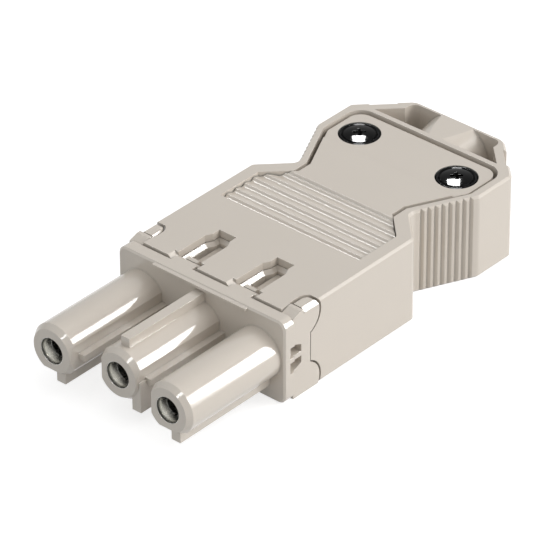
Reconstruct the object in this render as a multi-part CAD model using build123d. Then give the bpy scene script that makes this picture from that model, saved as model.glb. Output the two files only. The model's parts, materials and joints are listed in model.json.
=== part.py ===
"""Three-pole female power connector with a screwed strain relief.

A moulded contact carrier with three keyed noses plugs into a waisted rear housing.
Each pole holds a slotted socket contact, its steel spring sleeve, a terminal cage, a
clamp screw and a pressure plate. A ribbed flap on top of the housing bends down under
two screws and clamps the cable in front of its funnel-shaped outlet.

X is the width, the noses point along -Y, the cable leaves along +Y and Z is up.
All sizes are in millimetres. Lengths along Y are worked out from the front face of the
carrier's plate, and write_node moves the finished pieces to the middle of the length.
"""

from build123d import *
from math import atan2, cos, degrees, radians, sin, tan
import os

# Fits and walls
WALL = 1.1
CORE_CLEARANCE = 0.1
SEAM = 0.12
CONTACT_FIT = 0.05
CAGE_CLEARANCE = 0.1
HINGE_GAP = 0.1
FLAP_GAP = 0.6

# Terminal cages, clamp screws and pressure plates
CAGE_HALF = 2.2
CAGE_WALL = 0.55
CAGE_FLOOR = 0.7
CAGE_ROOF = 1.6
CAGE_HEIGHT = 6.2
CAGE_LENGTH = 9.0
CAGE_GAP = 0.15
CLAMP_SCREW_RADIUS = 1.45
CLAMP_SCREW_BORE = 1.5
CLAMP_SCREW_LENGTH = 4.0
CLAMP_SCREW_PROUD = 0.4
CLAMP_SLOT_WIDTH = 0.6
CLAMP_SLOT_DEPTH = 0.8
PRESSURE_PLATE_THICKNESS = 0.4
PRESSURE_PLATE_LENGTH = 7.0
PRESSURE_PLATE_GAP = 0.2
PRESSURE_PLATE_EDGE = 0.15

# Chambers in the carrier that hold the cages
CHAMBER_HALF_HEIGHT = 3.7
CHAMBER_BASE = 1.7
CHAMBER_ROOF = 1.3
CHAMBER_SIDE = 0.6
CHAMBER_FRONT = 5.2
CHAMBER_REST = 1.9
SCREW_ACCESS_HALF = 2.1

# Poles
POLE_PITCH = 10.0
POLES = {"live": -POLE_PITCH, "earth": 0.0, "neutral": POLE_PITCH}

# Noses
NOSE_LENGTH = 17.4
EARTH_SETBACK = 1.6
NOSE_RADIUS = 3.7
NOSE_FACE_RADIUS = 3.15
NOSE_BEVEL_LENGTH = 0.8
NOSE_BOTTOM_FLAT = 2.8
NOSE_LEFT_FLAT = 2.75
NOSE_RIGHT_FLAT = 3.25
ENTRY_RADIUS = 1.95
ENTRY_DEPTH = 1.5
KEY_DROP = 4.47
KEY_WIDTH = 1.5
KEY_SETBACK = 0.4
KEY_OFFSETS = {"live": 0.45, "earth": 2.1, "neutral": 0.27}
RIB_REACH = 4.2
RIB_RISE = 0.3
RIB_THICKNESS = 0.9
RIB_SETBACK = 1.65
FIN_WIDTH = 1.45
FIN_RISE = 5.0
FIN_SETBACK = 1.6

# Contacts
CONTACT_BORE = 1.5
CONTACT_RADIUS = 2.05
CONTACT_BODY_RADIUS = 2.3
CONTACT_BORE_LENGTH = 13.0
CONTACT_SLOT = 0.4
CONTACT_SLOT_LENGTH = 9.0
SPRING_WALL = 0.2
SPRING_LENGTH = 6.0
SPRING_GAP_ANGLE = 40.0
TAIL_THICKNESS = 0.8
TAIL_HALF = 1.6
TAIL_END_GAP = 0.7

# Plate, side panels and lobes of the carrier
PLATE_SIDE_PROUD = 0.25
PLATE_TOP_DROP = 0.25
PLATE_THICKNESS = 1.9
PLATE_CORNER = 1.3
PLATE_EDGE = 0.25
LIP_WIDTH = 16.0
LIP_REACH = 0.45
LIP_HEIGHT = 0.5
PANEL_LENGTH = 3.35
LOBE_RADIUS = 3.0
LOBE_SETBACK = 2.15
LOBE_HEIGHT = 1.35
LOBE_WIDTH = 2.1
LOBE_CORNER = 1.5
LOBE_BEVEL = 0.25
LOBE_EDGE = 0.55
LOBE_GAP_SHIFT = 0.2
LOBE_SETOFF = 2.05
LOBE_LINE_WIDTH = 0.2
LOBE_LINE_DEPTH = 0.6
SCOOP_DEPTH = 0.5
SCOOP_LENGTH = 1.5
WINDOW_FRONT = 1.1
WINDOW_LENGTH = 2.4
WINDOW_DROP = 0.05
WINDOW_BAR = 0.7
WINDOW_REACH = 2.0
WINDOW_FLARE = 0.65
WINDOW_ARC_RADIUS = 4.5
WINDOW_DEPTH = 1.6

# Release slots in the roof, and the catches under their fronts
SLOT_SPACING = 10.0
SLOT_WIDTH = 3.95
SLOT_NECK_WIDTH = 2.9
SLOT_SHOULDER = 9.2
SLOT_REAR = 10.95
SLOT_MOUTH_FLARE = 0.6
SLOT_MOUTH_LENGTH = 1.35
SLOT_TAB_REAR = 2.95
CATCH_REAR = 3.6
CATCH_THICKNESS = 0.45

# Latch tongues and their pockets
LATCH_POCKET_DEPTH = 3.2
LATCH_POCKET_BEVEL = 0.5
TONGUE_ROOT_GAP = 0.05
TONGUE_TIP_GAP = 0.2
TONGUE_HALF = 0.95
TONGUE_THICKNESS = 0.8
TONGUE_DROP = 1.0
HOOK_LAND = 0.6
HOOK_RAMP = 2.0
HOOK_HEIGHT = 1.5

# Housing
PLATE_GAP = 0.3
SHOULDER_START = 25.9
WAIST_DEPTH = 4.1
WAIST_LENGTH = 0.9
FLANK_LENGTH = 8.5
REAR_SIDE_LENGTH = 6.8
REAR_CHAMFER = 6.4
BODY_CORNER = 1.0
REAR_CORNER = 2.0
BODY_EDGE = 0.3
BODY_BOTTOM_EDGE = 0.3
FLANK_GROOVES = 8
FLANK_PITCH = 1.02
FLANK_GROOVE_DEPTH = 0.38
FLANK_GROOVE_START = 0.55

# Flap and its fluted bending band
FLAP_SETBACK = 0.35
FLAP_THICKNESS = 2.0
BAND_RIM = 2.2
BAND_SHOULDER = 24.8
BAND_REAR = 27.9
FLAP_RIM = 1.9
FLAP_FLANK_SHIFT = 0.1
FLAP_CORNER = 2.0
BAND_FLUTES = 6
BAND_PITCH = 1.78
FIRST_CREST = 1.0
BAND_DROP = 0.3
BAND_THICKNESS = 1.3
FLUTE_DEPTH = 0.34
FLUTE_TURN = 0.5
FLUTE_VALLEY = 0.68
FLUTE_BEND = 0.7
SCREW_PLATE_SETBACK = 4.2
SCREW_PLATE_DROP = 0.3
PRESS_BARS = 3
PRESS_BAR_PITCH = 2.0
PRESS_BAR_DROP = 0.3
PRESS_BAR_WIDTH = 1.0
PRESS_BAR_LENGTH = 9.0

# Screws, bosses and nuts of the strain relief
STRAIN_SCREW_EDGE = 3.75
STRAIN_SCREW_SETBACK = 2.1
STRAIN_SCREW_RADIUS = 1.45
STRAIN_SCREW_TIP = 1.5
STRAIN_HEAD_RADIUS = 2.8
STRAIN_HEAD_HEIGHT = 1.6
STRAIN_HEAD_LIFT = 0.2
STRAIN_RECESS_RADIUS = 2.95
STRAIN_RECESS_DEPTH = 2.1
FLAP_BOSS_RADIUS = 3.7
FLAP_BOSS_LENGTH = 1.4
FLAP_HOLE_RADIUS = 1.9
BOSS_RADIUS = 3.0
BOSS_GAP = 1.8
BOSS_HOLE_RADIUS = 1.65
NUT_WIDTH = 5.5
NUT_HEIGHT = 2.0
NUT_BORE_RADIUS = 1.5
NUT_RECESS = 0.4
NUT_CLEARANCE = 0.06
NUT_CORNER = 0.45
NUT_PAD_WALL = 0.6
CROSS_WIDTH = 0.85
CROSS_LENGTH = 3.3
CROSS_DEPTH = 1.1

# Cable outlet and the open pocket round its funnel
BULKHEAD_SETBACK = 0.3
BULKHEAD_THICKNESS = 0.75
POCKET_WALL = 1.7
POCKET_STEP_LENGTH = 1.8
POCKET_FLOOR = 3.4
REAR_WALL = 0.6
OUTLET_RISE = 1.3
OUTLET_RADIUS = 3.7
OUTLET_LAND = 2.0
OUTLET_MOUTH_RADIUS = 4.4
FUNNEL_RADIUS = 4.9
FUNNEL_MOUTH_RADIUS = 5.7
POCKET_CORNER = 1.2
CORNER_NOTCH_DEPTH = 2.3
CORNER_NOTCH_REACH = 0.5
CORNER_NOTCH_LENGTH = 3.9

# Cable saddle
SADDLE_SHIFT = 0.2
SADDLE_LENGTH = 7.0
SADDLE_CLEARANCE = 0.2
SADDLE_HEIGHT = 4.0
SADDLE_FLOOR = 1.1
SADDLE_TROUGH_RADIUS = 4.5
SADDLE_TEETH = 2
SADDLE_TOOTH = 0.8
SADDLE_TOOTH_HEIGHT = 0.5

# Heights worked out from the sizes above
CORE_BOTTOM = WALL + CORE_CLEARANCE
CHAMBER_FLOOR = CORE_BOTTOM + CHAMBER_BASE
POLE_HEIGHT = CHAMBER_FLOOR + CHAMBER_HALF_HEIGHT
CHAMBER_CEILING = POLE_HEIGHT + CHAMBER_HALF_HEIGHT
CORE_TOP = CHAMBER_CEILING + CHAMBER_ROOF
ROOF = CORE_TOP + CORE_CLEARANCE
BODY_HEIGHT = ROOF + WALL
PLATE_HEIGHT = BODY_HEIGHT - PLATE_TOP_DROP
CAGE_BOTTOM = CHAMBER_FLOOR + CAGE_CLEARANCE
CAGE_TOP = CAGE_BOTTOM + CAGE_HEIGHT
CLAMP_TIP = CAGE_TOP - CAGE_ROOF - CLAMP_SCREW_PROUD
KEY_BOTTOM = POLE_HEIGHT - KEY_DROP
RIB_TOP = POLE_HEIGHT + RIB_RISE
FIN_TOP = POLE_HEIGHT + FIN_RISE
WINDOW_MIDDLE = BODY_HEIGHT / 2 - WINDOW_DROP
CATCH_TOP = ROOF + CATCH_THICKNESS
TONGUE_TOP = CORE_TOP - TONGUE_DROP
FLAP_LOW = BODY_HEIGHT - FLAP_THICKNESS
FLAP_BOSS_BOTTOM = FLAP_LOW - FLAP_BOSS_LENGTH
BOSS_TOP = FLAP_BOSS_BOTTOM - BOSS_GAP
NUT_PAD_TOP = NUT_RECESS + NUT_HEIGHT + NUT_PAD_WALL
SADDLE_TOP = WALL + SADDLE_HEIGHT
OUTLET_HEIGHT = POLE_HEIGHT + OUTLET_RISE

# Half widths worked out from the sizes above
CHAMBER_HALF = CAGE_HALF + CAGE_CLEARANCE
CORE_HALF = POLE_PITCH + CHAMBER_HALF + CHAMBER_SIDE
BODY_HALF = CORE_HALF + CORE_CLEARANCE + WALL
PLATE_HALF = BODY_HALF + PLATE_SIDE_PROUD
WAIST_HALF = BODY_HALF - WAIST_DEPTH
BAND_HALF = BODY_HALF - BAND_RIM
FLAP_WIDE_HALF = BODY_HALF - FLAP_RIM
FLAP_NECK_HALF = WAIST_HALF - FLAP_RIM
STRAIN_SCREW_HALF = FLAP_WIDE_HALF - STRAIN_SCREW_EDGE
NUT_PAD_HALF = NUT_WIDTH / 2 + NUT_CLEARANCE + NUT_PAD_WALL
SADDLE_HALF = STRAIN_SCREW_HALF - NUT_PAD_HALF - SADDLE_CLEARANCE

# Places along Y worked out from the sizes above
FRONT_FACE = -NOSE_LENGTH
PANEL_REAR = PLATE_THICKNESS + PANEL_LENGTH
LOBE_CENTRE = PLATE_THICKNESS + LOBE_SETBACK
LOBE_FRONT = PLATE_THICKNESS + LOBE_SETOFF
BODY_FRONT = PLATE_THICKNESS + PLATE_GAP
CAGE_FRONT = CHAMBER_FRONT + CONTACT_FIT + TAIL_THICKNESS + CAGE_GAP
CLAMP_PLACE = CAGE_FRONT + CAGE_LENGTH / 2
CORE_REAR = CAGE_FRONT + CAGE_LENGTH + CHAMBER_REST
LATCH_POCKET_REAR = SLOT_REAR - LATCH_POCKET_BEVEL
TONGUE_TIP = CATCH_REAR + TONGUE_TIP_GAP
FLAP_FRONT = CORE_REAR + FLAP_SETBACK
WAIST_START = SHOULDER_START + WAIST_DEPTH
FLANK_START = WAIST_START + WAIST_LENGTH
FLANK_END = FLANK_START + FLANK_LENGTH
CHAMFER_START = FLANK_END + REAR_SIDE_LENGTH
REAR_FACE = CHAMFER_START + REAR_CHAMFER
BULKHEAD_FRONT = CHAMFER_START + BULKHEAD_SETBACK
POCKET_FRONT = BULKHEAD_FRONT + BULKHEAD_THICKNESS
POCKET_REAR = REAR_FACE - REAR_WALL
POCKET_STEP = POCKET_REAR - POCKET_STEP_LENGTH
FLAP_NECK_REAR = FLANK_START + FLAP_FLANK_SHIFT
FLAP_WIDE_START = FLANK_END - FLAP_FLANK_SHIFT
FLAP_REAR = BULKHEAD_FRONT - FLAP_GAP
STRAIN_SCREW_PLACE = FLANK_END + STRAIN_SCREW_SETBACK
SCREW_PLATE_START = STRAIN_SCREW_PLACE - SCREW_PLATE_SETBACK
SADDLE_FRONT = STRAIN_SCREW_PLACE + SADDLE_SHIFT - SADDLE_LENGTH / 2
SADDLE_REAR = SADDLE_FRONT + SADDLE_LENGTH
CENTRE = (REAR_FACE + FRONT_FACE) / 2

# How far a cutting shape runs past what it cuts, and a size larger than any piece
PAST = 1.0
FAR = 100.0


def span(low, high):
    """A block between two opposite corners."""
    size = [b - a for a, b in zip(low, high)]
    middle = [(a + b) / 2 for a, b in zip(low, high)]
    return Pos(*middle) * Box(*size)


def rod(radius, start, end, axis, place=(0.0, 0.0)):
    """A round bar from start to end along Y or Z. Place is X, Z or X, Y."""
    bar = Cylinder(radius, end - start)
    middle = (start + end) / 2
    if axis == "y":
        return Pos(place[0], middle, place[1]) * Rot(90, 0, 0) * bar
    return Pos(place[0], place[1], middle) * bar


def along_y(sketch, start, end):
    """Extrude a sketch drawn in X and Z from start to end along Y."""
    return Pos(0, end, 0) * extrude(Plane.XZ * sketch, end - start)


def along_x(sketch, start, end):
    """Extrude a sketch drawn in Y and Z from start to end along X."""
    return Pos(start, 0, 0) * extrude(Plane.YZ * sketch, end - start)


def outline(points):
    """A face through the points of an outline."""
    return make_face(Polyline(*points, close=True))


def both_sides(right_points):
    """Mirror the right half of a plan outline, given from front to rear."""
    left_points = [(-x, y) for x, y in reversed(right_points)]
    return outline(right_points + left_points)


def turned(points, place):
    """Revolve a profile of (radius, y) points about a pole's axis. Place is X, Z."""
    x, z = place
    return Pos(x, 0, z) * revolve(outline(points), Axis.Y)


def on_side(solid, side):
    """A solid drawn for the right side, mirrored where the side is the left one."""
    return mirror(solid, Plane.YZ) if side < 0 else solid


def nose_face(pole):
    """Where the face of a pole's nose lies along Y."""
    return FRONT_FACE + (EARTH_SETBACK if pole == "earth" else 0.0)


def nose(pole):
    """One nose with its bevelled face, flats, coding key and side rib."""
    x = POLES[pole]
    face = nose_face(pole)
    z = POLE_HEIGHT
    barrel = turned(
        [
            (0, face),
            (NOSE_FACE_RADIUS, face),
            (NOSE_RADIUS, face + NOSE_BEVEL_LENGTH),
            (NOSE_RADIUS, PLATE_THICKNESS),
            (0, PLATE_THICKNESS),
        ],
        (x, z),
    )
    if pole != "earth":
        barrel -= span((x - FAR, face - PAST, z - FAR), (x + FAR, 0, z - NOSE_BOTTOM_FLAT))
    if pole != "live":
        barrel -= span((x - FAR, face - PAST, z - FAR), (x - NOSE_LEFT_FLAT, 0, z + FAR))
    if pole != "neutral":
        barrel -= span((x + NOSE_RIGHT_FLAT, face - PAST, z - FAR), (x + FAR, 0, z + FAR))
        rib_low = (x, face + RIB_SETBACK, RIB_TOP - RIB_THICKNESS)
        barrel += span(rib_low, (x + RIB_REACH, PLATE_THICKNESS, RIB_TOP))
    key_left = x + KEY_OFFSETS[pole]
    key_low = (key_left, face + KEY_SETBACK, KEY_BOTTOM)
    barrel += span(key_low, (key_left + KEY_WIDTH, PLATE_THICKNESS, z))
    if pole == "earth":
        fin_low = (x - FIN_WIDTH / 2, face + FIN_SETBACK, z)
        barrel += span(fin_low, (x + FIN_WIDTH / 2, PLATE_THICKNESS, FIN_TOP))
    return barrel


def nose_bore(pole):
    """The entry hole of a nose and the longer bore that holds its contact."""
    face = nose_face(pole)
    entry_end = face + ENTRY_DEPTH
    bore = CONTACT_BODY_RADIUS + CONTACT_FIT
    points = [
        (0, face - PAST),
        (ENTRY_RADIUS, face - PAST),
        (ENTRY_RADIUS, entry_end),
        (bore, entry_end),
        (bore, CHAMBER_FRONT + PAST),
        (0, CHAMBER_FRONT + PAST),
    ]
    return turned(points, (POLES[pole], POLE_HEIGHT))


def lobe_sketch(grow=0.0, shift=0.0):
    """Side view of the carrier's side panel with its two round lobes, in Y and Z."""
    panel_rear = PANEL_REAR + grow
    panel = outline(
        [
            (PLATE_THICKNESS, 0),
            (panel_rear, 0),
            (panel_rear, BODY_HEIGHT),
            (PLATE_THICKNESS, BODY_HEIGHT),
        ]
    )
    for height in (LOBE_HEIGHT, BODY_HEIGHT - LOBE_HEIGHT):
        panel += Pos(LOBE_CENTRE + shift, height) * Circle(LOBE_RADIUS + grow)
    frame = Pos(FAR / 2 + PLATE_THICKNESS, BODY_HEIGHT / 2) * Rectangle(FAR, BODY_HEIGHT)
    return panel & frame


def lobe_slab(grow=0.0, shift=0.0, front=0.0, past=0.0):
    """The side panel as deep as its lobes reach inwards, with their inner corners rounded."""
    inner = BODY_HALF - LOBE_WIDTH - grow - shift
    outer = BODY_HALF + past
    rear = LOBE_CENTRE + LOBE_RADIUS + grow + shift
    plan = outline([(inner, front), (outer, front), (outer, rear), (inner, rear)])
    inner_rear_corner = plan.vertices().group_by(Axis.Y)[-1].sort_by(Axis.X)[0]
    plan = fillet(inner_rear_corner, LOBE_CORNER + grow + shift)
    return along_x(lobe_sketch(grow, shift), inner, outer) & extrude(plan, BODY_HEIGHT)


def lobe_rim(panel, low, high):
    """The upper edges of a panel's lobe whose middles lie between two places along X."""
    top = panel.edges().group_by(Axis.Z)[-1]
    start = LOBE_FRONT + LOBE_LINE_WIDTH + SEAM
    return top.filter_by(lambda edge: edge.center().Y > start and low < edge.center().X < high)


def side_panel(side):
    """A side panel with a lobe that wraps over each of its long edges."""
    panel = lobe_slab() - span((-FAR, -PAST, CORE_BOTTOM), (CORE_HALF, FAR, CORE_TOP))
    line_rear = LOBE_FRONT + LOBE_LINE_WIDTH
    panel -= span((-FAR, LOBE_FRONT, BODY_HEIGHT - LOBE_LINE_DEPTH), (FAR, line_rear, FAR))
    panel = chamfer(lobe_rim(panel, BODY_HALF - SEAM, FAR), LOBE_EDGE)
    panel = chamfer(lobe_rim(panel, 0, BODY_HALF - LOBE_EDGE - SEAM), LOBE_BEVEL)
    return on_side(panel, side)


def window_cut(side):
    """The two flared windows in a side panel, one above the other."""
    front = WINDOW_FRONT
    rear = WINDOW_FRONT + WINDOW_LENGTH
    cuts = []
    for direction in (-1, 1):
        near = WINDOW_MIDDLE + direction * WINDOW_BAR / 2
        tall = WINDOW_MIDDLE + direction * WINDOW_REACH
        low = tall - direction * WINDOW_FLARE
        edge = [
            Line((front, near), (rear, near)),
            Line((rear, near), (rear, low)),
            RadiusArc((rear, low), (front, tall), -direction * WINDOW_ARC_RADIUS),
            Line((front, tall), (front, near)),
        ]
        slab = along_x(make_face(edge), PLATE_HALF - WINDOW_DEPTH, PLATE_HALF + PAST)
        cuts.append(on_side(slab, side))
    return cuts


def contact_carrier():
    """The moulded carrier: plate, noses, side panels, lobes and terminal chambers."""
    plate_face = RectangleRounded(2 * PLATE_HALF, PLATE_HEIGHT, PLATE_CORNER)
    plate = along_y(Pos(0, PLATE_HEIGHT / 2) * plate_face, 0, PLATE_THICKNESS)
    plate = chamfer(plate.faces().sort_by(Axis.Y)[0].edges(), PLATE_EDGE)
    lip_low = (-LIP_WIDTH / 2, -LIP_REACH, PLATE_HEIGHT - LIP_HEIGHT)
    body = plate + span(lip_low, (LIP_WIDTH / 2, PLATE_THICKNESS, PLATE_HEIGHT - PLATE_EDGE / 2))
    body += span((-CORE_HALF, PLATE_THICKNESS, CORE_BOTTOM), (CORE_HALF, CORE_REAR, CORE_TOP))
    for side in (-1, 1):
        body += side_panel(side)
        body -= window_cut(side)
        body += slot_filler(side)
        body -= latch_pocket(side)
        body -= rim_scoop(side)
    for pole in POLES:
        body += nose(pole)
    for pole, x in POLES.items():
        body -= nose_bore(pole)
        body -= span(
            (x - CHAMBER_HALF, CHAMBER_FRONT, CHAMBER_FLOOR),
            (x + CHAMBER_HALF, CORE_REAR + PAST, CHAMBER_CEILING),
        )
        access = SCREW_ACCESS_HALF
        body -= span(
            (x - access, CLAMP_PLACE - access, CHAMBER_CEILING - PAST),
            (x + access, CLAMP_PLACE + access, CORE_TOP + PAST),
        )
    return body


def slot_filler(side):
    """The small tab of the carrier that closes the front of a release slot."""
    x = side * SLOT_SPACING / 2
    half = SLOT_WIDTH / 2 - SEAM
    low = CATCH_TOP + CORE_CLEARANCE
    root = (x - half, PLATE_THICKNESS / 2, low)
    return span(root, (x + half, SLOT_TAB_REAR, PLATE_HEIGHT))


def rim_scoop(side):
    """The hollow behind the plate's rim at a side's upper edge, sloping up to the rear."""
    low = BODY_HEIGHT - SCOOP_DEPTH
    rear = PLATE_THICKNESS + SCOOP_LENGTH
    points = [(PLATE_THICKNESS, low), (rear, BODY_HEIGHT), (rear, FAR), (PLATE_THICKNESS, FAR)]
    cut = along_x(outline(points), BODY_HALF - LOBE_WIDTH, BODY_HALF + PAST)
    return on_side(cut, side)


def latch_pocket(side):
    """The hollow in which a latch tongue bends down, with a bevel round its upper edge."""
    top = Pos(0, 0, CORE_TOP) * slot_outline(SLOT_TAB_REAR)
    pocket = extrude(top, LATCH_POCKET_BEVEL, dir=(0, 0, -1), taper=45)
    bottom = pocket.faces().sort_by(Axis.Z)[0]
    pocket += extrude(bottom, LATCH_POCKET_DEPTH - LATCH_POCKET_BEVEL, dir=(0, 0, -1))
    return Pos(side * SLOT_SPACING / 2, 0, 0) * pocket


def latch_tongue(side):
    """A springy tongue with a hook in front, behind the housing's catch."""
    x = side * SLOT_SPACING / 2
    root = LATCH_POCKET_REAR - TONGUE_ROOT_GAP
    low = TONGUE_TOP - TONGUE_THICKNESS
    crest = TONGUE_TOP + HOOK_HEIGHT
    profile = [
        (TONGUE_TIP, low),
        (root, low),
        (root, TONGUE_TOP),
        (TONGUE_TIP + HOOK_LAND + HOOK_RAMP, TONGUE_TOP),
        (TONGUE_TIP + HOOK_LAND, crest),
        (TONGUE_TIP, crest),
    ]
    return along_x(outline(profile), x - TONGUE_HALF, x + TONGUE_HALF)


def body_outline(inset=0.0, front=BODY_FRONT):
    """Plan outline of the housing, moved inwards by an inset behind its open front."""
    diagonal = inset * (2 ** 0.5 - 1)
    half = BODY_HALF - inset
    neck = WAIST_HALF - inset
    flank_shift = inset * (1 - cos(flank_angle())) / sin(flank_angle())
    right = [
        (half, front),
        (half, SHOULDER_START - diagonal),
        (neck, WAIST_START - diagonal),
        (neck, FLANK_START + flank_shift),
        (half, FLANK_END + flank_shift),
        (half, CHAMFER_START - diagonal),
        (BODY_HALF - REAR_CHAMFER - diagonal, REAR_FACE - inset),
    ]
    return both_sides(right)


def flank_angle():
    """The angle of the ribbed flank to the Y axis, in radians."""
    return atan2(BODY_HALF - WAIST_HALF, FLANK_LENGTH)


def flap_outline(edge_gap=0.0, gap=0.0):
    """Plan outline of the flap, grown by its gaps at the band's edges and behind them."""
    half = BAND_HALF + edge_gap
    neck = FLAP_NECK_HALF + gap
    wide = FLAP_WIDE_HALF + gap
    diagonal = BAND_HALF + BAND_SHOULDER + edge_gap * 2 ** 0.5
    spread = atan2(FLAP_WIDE_HALF - FLAP_NECK_HALF, FLAP_WIDE_START - FLAP_NECK_REAR)
    shift = gap * tan(spread / 2)
    right = [
        (half, FLAP_FRONT - edge_gap),
        (half, diagonal - half),
        (neck, diagonal - neck),
        (neck, FLAP_NECK_REAR - shift),
        (wide, FLAP_WIDE_START - shift),
        (wide, FLAP_REAR + gap),
    ]
    face = both_sides(right)
    rear_corners = face.vertices().group_by(Axis.Y)[-1]
    return fillet(rear_corners, FLAP_CORNER + gap)


def slot_outline(front):
    """Plan outline of a release slot about its own middle, from a front place on."""
    wide = SLOT_WIDTH / 2
    narrow = SLOT_NECK_WIDTH / 2
    step = wide - narrow
    right = [
        (wide, front),
        (wide, SLOT_SHOULDER - step),
        (narrow, SLOT_SHOULDER + step),
        (narrow, SLOT_REAR),
    ]
    return both_sides(right)


def slot_cut(side):
    """A release slot with a bevelled mouth; a catch for the latch bridges its lower half."""
    wide = SLOT_WIDTH / 2
    flared = wide + SLOT_MOUTH_FLARE
    low = BODY_HEIGHT - SLOT_MOUTH_FLARE
    slot = Pos(0, 0, ROOF - PAST) * extrude(slot_outline(BODY_FRONT - PAST), BODY_HEIGHT)
    mouth = outline([(-flared, BODY_HEIGHT), (flared, BODY_HEIGHT), (wide, low), (-wide, low)])
    slot += along_y(mouth, BODY_FRONT - PAST, BODY_FRONT + SLOT_MOUTH_LENGTH)
    slot -= span((-FAR, -FAR, -FAR), (FAR, CATCH_REAR, CATCH_TOP))
    return Pos(side * SLOT_SPACING / 2, 0, 0) * slot


def flank_grooves():
    """The upright finger grooves on both flanks behind the waist."""
    angle = flank_angle()
    grooves = []
    for i in range(FLANK_GROOVES):
        along = FLANK_GROOVE_START + FLANK_PITCH * (i + 0.5)
        x = WAIST_HALF + along * sin(angle)
        y = FLANK_START + along * cos(angle)
        side = FLANK_GROOVE_DEPTH * 2 ** 0.5
        bar = Rot(0, 0, 45 - degrees(angle)) * Box(side, side, 2 * BODY_HEIGHT)
        groove = Pos(x, y, BODY_HEIGHT / 2) * bar
        grooves += [groove, mirror(groove, Plane.YZ)]
    return grooves


def funnel():
    """The cone round the cable outlet."""
    points = [
        (0, BULKHEAD_FRONT),
        (FUNNEL_RADIUS, BULKHEAD_FRONT),
        (FUNNEL_MOUTH_RADIUS, REAR_FACE),
        (0, REAR_FACE),
    ]
    return turned(points, (0.0, OUTLET_HEIGHT))


def outlet_bore():
    """The hole for the cable: a short round land, then a mouth that widens to the rear."""
    land_end = BULKHEAD_FRONT + OUTLET_LAND
    points = [
        (0, BULKHEAD_FRONT - PAST),
        (OUTLET_RADIUS, BULKHEAD_FRONT - PAST),
        (OUTLET_RADIUS, land_end),
        (OUTLET_MOUTH_RADIUS, REAR_FACE),
        (OUTLET_MOUTH_RADIUS, REAR_FACE + PAST),
        (0, REAR_FACE + PAST),
    ]
    return turned(points, (0.0, OUTLET_HEIGHT))


def pocket_outline():
    """Plan outline of the open pocket in front of the rear wall."""
    diagonal_sum = BODY_HALF + CHAMFER_START - POCKET_WALL * 2 ** 0.5
    step_half = diagonal_sum - POCKET_STEP
    right = [
        (diagonal_sum - POCKET_FRONT, POCKET_FRONT),
        (step_half, POCKET_STEP),
        (step_half, POCKET_REAR),
    ]
    face = both_sides(right)
    rear_corners = face.vertices().group_by(Axis.Y)[-1]
    return fillet(rear_corners, POCKET_CORNER)


def corner_notch(side):
    """The shallow notch in the rim of a rear corner."""
    angle = 45 if side > 0 else -45
    x = side * (BODY_HALF - REAR_CHAMFER / 2)
    y = REAR_FACE - REAR_CHAMFER / 2
    notch = Box(CORNER_NOTCH_LENGTH, 2 * CORNER_NOTCH_REACH, 2 * CORNER_NOTCH_DEPTH)
    return Pos(x, y, BODY_HEIGHT) * Rot(0, 0, -angle) * notch


def strain_places():
    """Plan places of the two strain relief screws by side."""
    half = STRAIN_SCREW_HALF
    return {"left": (-half, STRAIN_SCREW_PLACE), "right": (half, STRAIN_SCREW_PLACE)}


def panel_cut(side):
    """The part of the housing's side that the carrier's panel and lobes take up."""
    cut = lobe_slab(SEAM, past=PAST) + lobe_slab(SEAM, LOBE_GAP_SHIFT, LOBE_FRONT, PAST)
    cut -= span((-FAR, -PAST, CORE_BOTTOM), (BODY_HALF - WALL, FAR, CORE_TOP))
    return on_side(cut, side)


def screw_boss(place):
    """A boss with a square pad at its foot for the nut."""
    x, y = place
    pad_low = (x - NUT_PAD_HALF, y - NUT_PAD_HALF, WALL / 2)
    pad = span(pad_low, (x + NUT_PAD_HALF, y + NUT_PAD_HALF, NUT_PAD_TOP))
    return pad + rod(BOSS_RADIUS, WALL / 2, BOSS_TOP, "z", place)


def boss_hole(place):
    """The screw's hole through a boss, with the square recess for the nut below."""
    x, y = place
    half = NUT_WIDTH / 2 + NUT_CLEARANCE
    recess = span((x - half, y - half, -PAST), (x + half, y + half, NUT_RECESS + NUT_HEIGHT))
    return recess + rod(BOSS_HOLE_RADIUS, -PAST, BOSS_TOP + PAST, "z", place)


def rear_housing():
    """The moulded housing with its waist, screw bosses, pocket and cable funnel."""
    shell = extrude(body_outline(), BODY_HEIGHT)
    upright = shell.edges().filter_by(Axis.Z).group_by(Axis.Y)
    shell = fillet([edge for group in upright[1:-1] for edge in group], BODY_CORNER)
    shell = fillet(shell.edges().filter_by(Axis.Z).group_by(Axis.Y)[-1], REAR_CORNER)
    top_rim = shell.faces().sort_by(Axis.Z)[-1].edges()
    shell = chamfer(top_rim.filter_by(lambda edge: edge.center().Y > BODY_FRONT + SEAM), BODY_EDGE)
    bottom_rim = shell.faces().sort_by(Axis.Z)[0].edges()
    bottom_rim = bottom_rim.filter_by(lambda edge: edge.center().Y > BODY_FRONT + SEAM)
    shell = chamfer(bottom_rim, BODY_BOTTOM_EDGE)
    cavity = extrude(body_outline(WALL, BODY_FRONT - PAST), ROOF - WALL)
    cavity -= span((-FAR, BULKHEAD_FRONT, -FAR), (FAR, FAR, FAR))
    shell -= Pos(0, 0, WALL) * cavity
    shell -= Pos(0, 0, ROOF - PAST) * extrude(flap_outline(HINGE_GAP, FLAP_GAP), BODY_HEIGHT)
    shell -= flank_grooves()
    for side in (-1, 1):
        shell -= slot_cut(side)
        shell -= corner_notch(side)
        shell -= panel_cut(side)
    pocket = Pos(0, 0, POCKET_FLOOR) * extrude(pocket_outline(), BODY_HEIGHT)
    shell -= pocket - funnel()
    for place in strain_places().values():
        shell += screw_boss(place)
        shell -= boss_hole(place)
    return shell - outlet_bore()


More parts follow.
